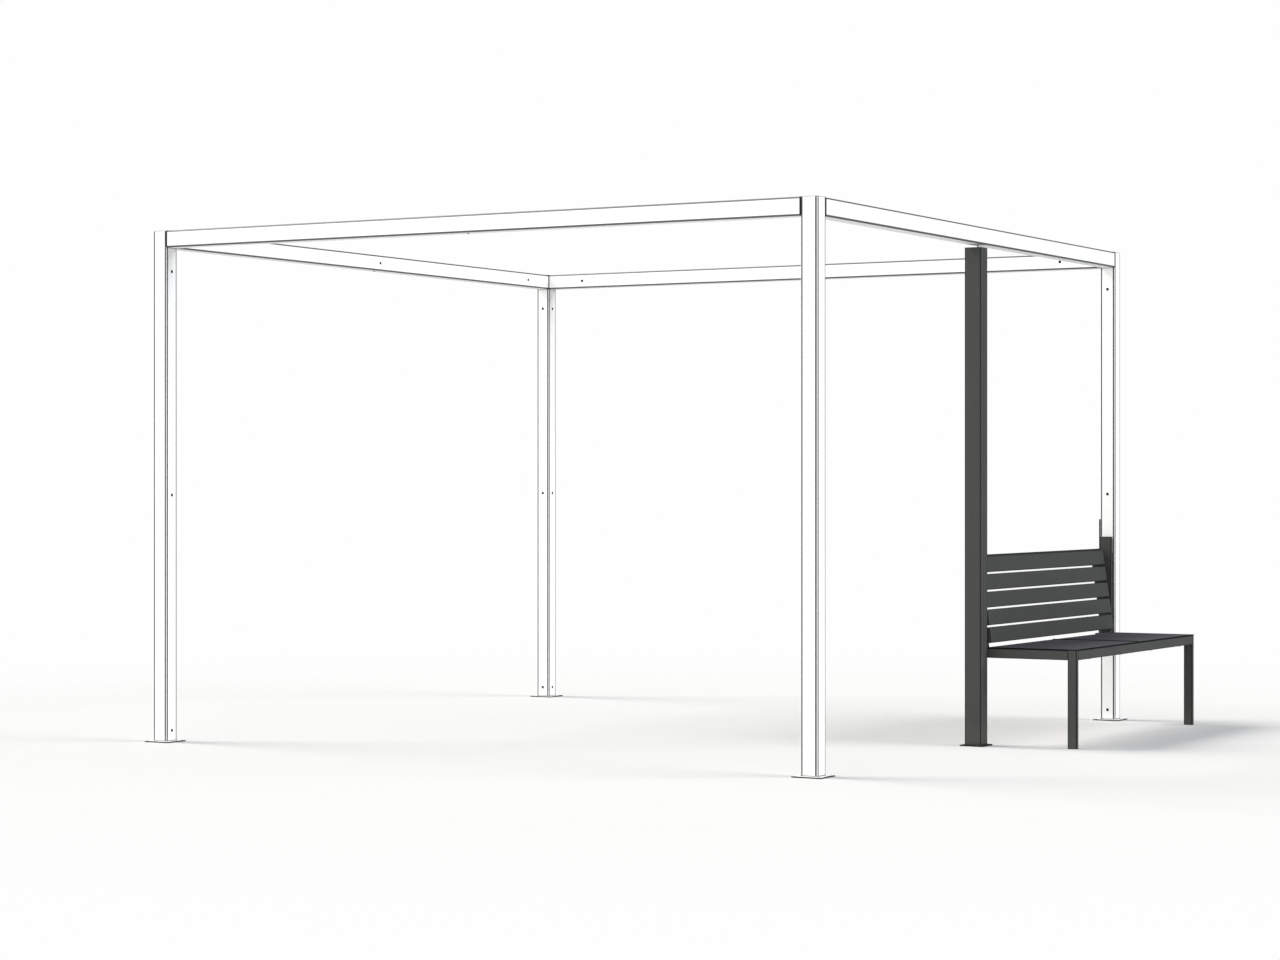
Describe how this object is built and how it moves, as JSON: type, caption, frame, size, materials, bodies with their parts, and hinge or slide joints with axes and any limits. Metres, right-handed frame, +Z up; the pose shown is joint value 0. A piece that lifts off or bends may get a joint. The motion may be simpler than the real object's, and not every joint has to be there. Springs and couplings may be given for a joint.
{
  "type": "open frame shelter with bench",
  "caption": "Open post-and-beam shelter frame of square tube, with a slatted bench that faces outward from the rear half of one side.",
  "frame": {"origin": "on the ground, at the middle of the whole outline", "axes": "+X along the front towards the side with the bench, +Y from the front to the back, +Z up"},
  "size_m": [3.9675, 3.58, 2.415],
  "materials": {
    "white_powder_coat": "satin white powder coat",
    "anthracite_powder_coat": "fine-textured matt powder coat",
    "slat_coating": "matt powder coat on hollow aluminium slats",
    "seat_laminate": "matt compact laminate with a black core",
    "black_plastic": "matt",
    "zinc_plated_steel": "zinc plated"
  },
  "bodies": {
    "root": {"post_front_right": "white_powder_coat", "post_front_left": "white_powder_coat", "post_back_left": "white_powder_coat", "post_back_right": "white_powder_coat", "base_plate_front_right": "white_powder_coat", "base_plate_front_left": "white_powder_coat", "base_plate_back_left": "white_powder_coat", "base_plate_back_right": "white_powder_coat", "post_cap_front_right": "white_powder_coat", "post_cap_front_left": "white_powder_coat", "post_cap_back_left": "white_powder_coat", "post_cap_back_right": "white_powder_coat", "beam_front": "white_powder_coat", "beam_back": "white_powder_coat", "beam_left": "white_powder_coat", "beam_right": "white_powder_coat", "bench_post": "anthracite_powder_coat", "bench_post_base_plate": "anthracite_powder_coat", "bench_post_head_cap": "anthracite_powder_coat", "bench_post_joining_plate": "anthracite_powder_coat", "end_bracket": "anthracite_powder_coat", "end_upright": "anthracite_powder_coat", "end_spacers": "anthracite_powder_coat", "back_support_near": "anthracite_powder_coat", "back_support_far": "anthracite_powder_coat", "back_top_rail": "anthracite_powder_coat", "seat_side_rail_near": "anthracite_powder_coat", "seat_side_rail_far": "anthracite_powder_coat", "seat_front_rail": "anthracite_powder_coat", "seat_back_rail": "anthracite_powder_coat", "seat_cross_rail": "anthracite_powder_coat", "bench_leg_near": "anthracite_powder_coat", "bench_leg_far": "anthracite_powder_coat", "back_slat_1": "slat_coating", "back_slat_2": "slat_coating", "back_slat_3": "slat_coating", "back_slat_4": "slat_coating", "back_slat_5": "slat_coating", "seat_panel_near": "seat_laminate", "seat_panel_far": "seat_laminate", "end_upright_cap": "black_plastic", "slat_end_caps": "black_plastic", "bench_tube_caps": "black_plastic", "bench_feet": "black_plastic", "bench_post_stud": "zinc_plated_steel"}
  },
  "joints": []
}
